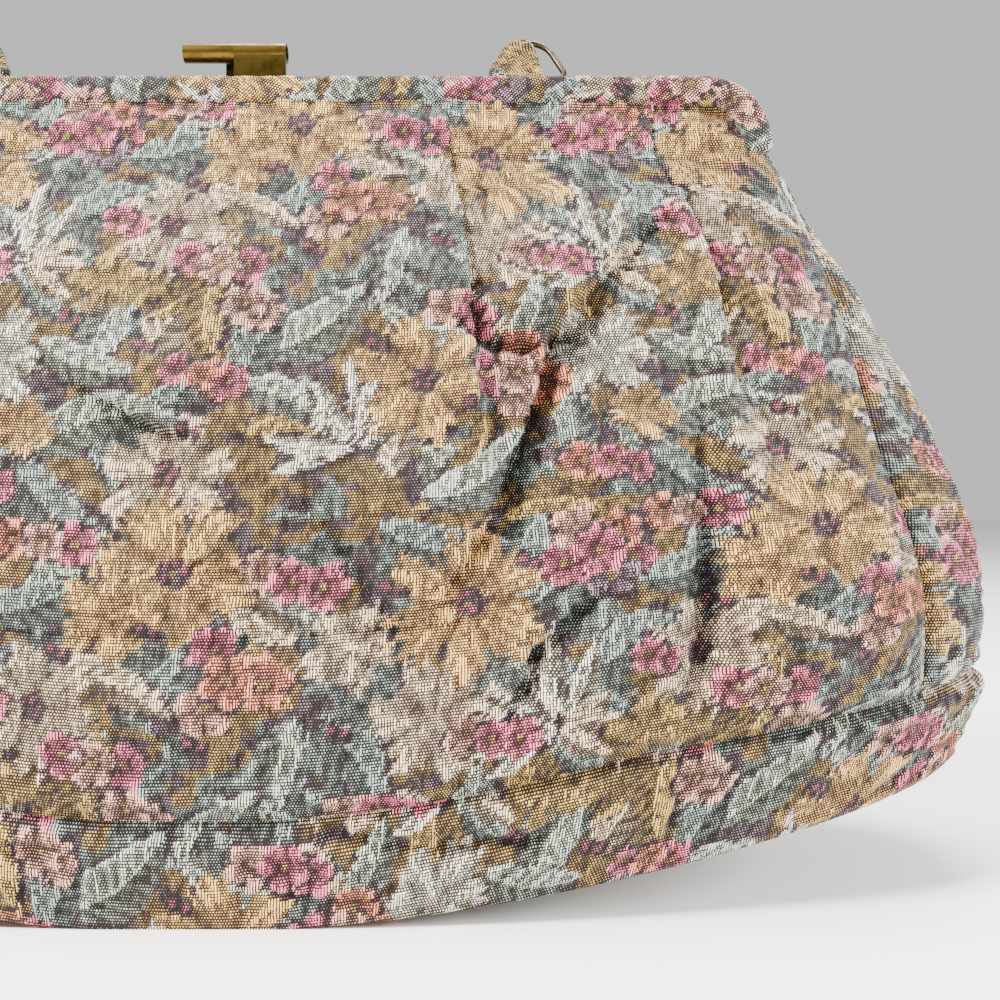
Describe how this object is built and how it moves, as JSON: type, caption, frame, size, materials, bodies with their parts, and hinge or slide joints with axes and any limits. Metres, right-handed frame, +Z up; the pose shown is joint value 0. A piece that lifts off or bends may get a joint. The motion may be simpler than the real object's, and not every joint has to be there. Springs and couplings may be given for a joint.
{
  "type": "carpet bag",
  "caption": "Soft floral tapestry handbag with a pleated body on a hinged, cloth-covered frame, a rolled bar clasp, two wire rings and a tapestry handle.",
  "frame": {"origin": "middle of the flat part of the base, on the surface that the bag stands on", "axes": "+X along the frame to the right as seen from the front, front face towards -Y, +Z up"},
  "size_m": [0.4706, 0.1386, 0.2741],
  "materials": {
    "tapestry": "woven",
    "tapestry_bias": "woven",
    "lining_cloth": "matte",
    "frame_steel": "satin",
    "clasp_brass": "aged",
    "ring_metal": "aged"
  },
  "bodies": {
    "bag": {"back_frame": "frame_steel", "back_frame_cover": "tapestry_bias", "back_clasp_bar": "clasp_brass", "hinge_rivet_left": "ring_metal", "hinge_rivet_right": "ring_metal", "ring_lug_left": "ring_metal", "ring_lug_right": "ring_metal", "back_panel": "tapestry", "front_panel": "tapestry", "gusset_left": "tapestry", "gusset_right": "tapestry", "base_panel": "tapestry", "lining": "lining_cloth"},
    "front_half": {"front_frame": "frame_steel", "front_frame_cover": "tapestry_bias", "front_clasp_bar": "clasp_brass"},
    "right_ring": {"ring_right": "ring_metal"},
    "left_ring": {"ring_left": "ring_metal"},
    "handle": {"handle_strap": "tapestry_bias", "strap_loop_left": "tapestry_bias", "strap_loop_right": "tapestry_bias"}
  },
  "joints": [
    {"name": "frame_hinge", "type": "hinge", "parent": "bag", "child": "front_half", "pos_m": [0, 0, 0.221], "axis": [1, 0, 0], "range_deg": [0, 75]},
    {"name": "right_ring_swing", "type": "hinge", "parent": "bag", "child": "right_ring", "pos_m": [0.093, 0.00495, 0.2538], "axis": [1, 0, 0], "range_deg": [0, 60]},
    {"name": "left_ring_swing", "type": "hinge", "parent": "bag", "child": "left_ring", "pos_m": [-0.093, 0.00495, 0.2538], "axis": [1, 0, 0], "range_deg": [0, 60]},
    {"name": "handle_swing", "type": "hinge", "parent": "right_ring", "child": "handle", "pos_m": [0.093, 0.01235, 0.26966], "axis": [1, 0, 0], "range_deg": [0, 160]}
  ],
  "couplings": [
    {"joint": "left_ring_swing", "follows": "right_ring_swing", "ratio": 1}
  ]
}
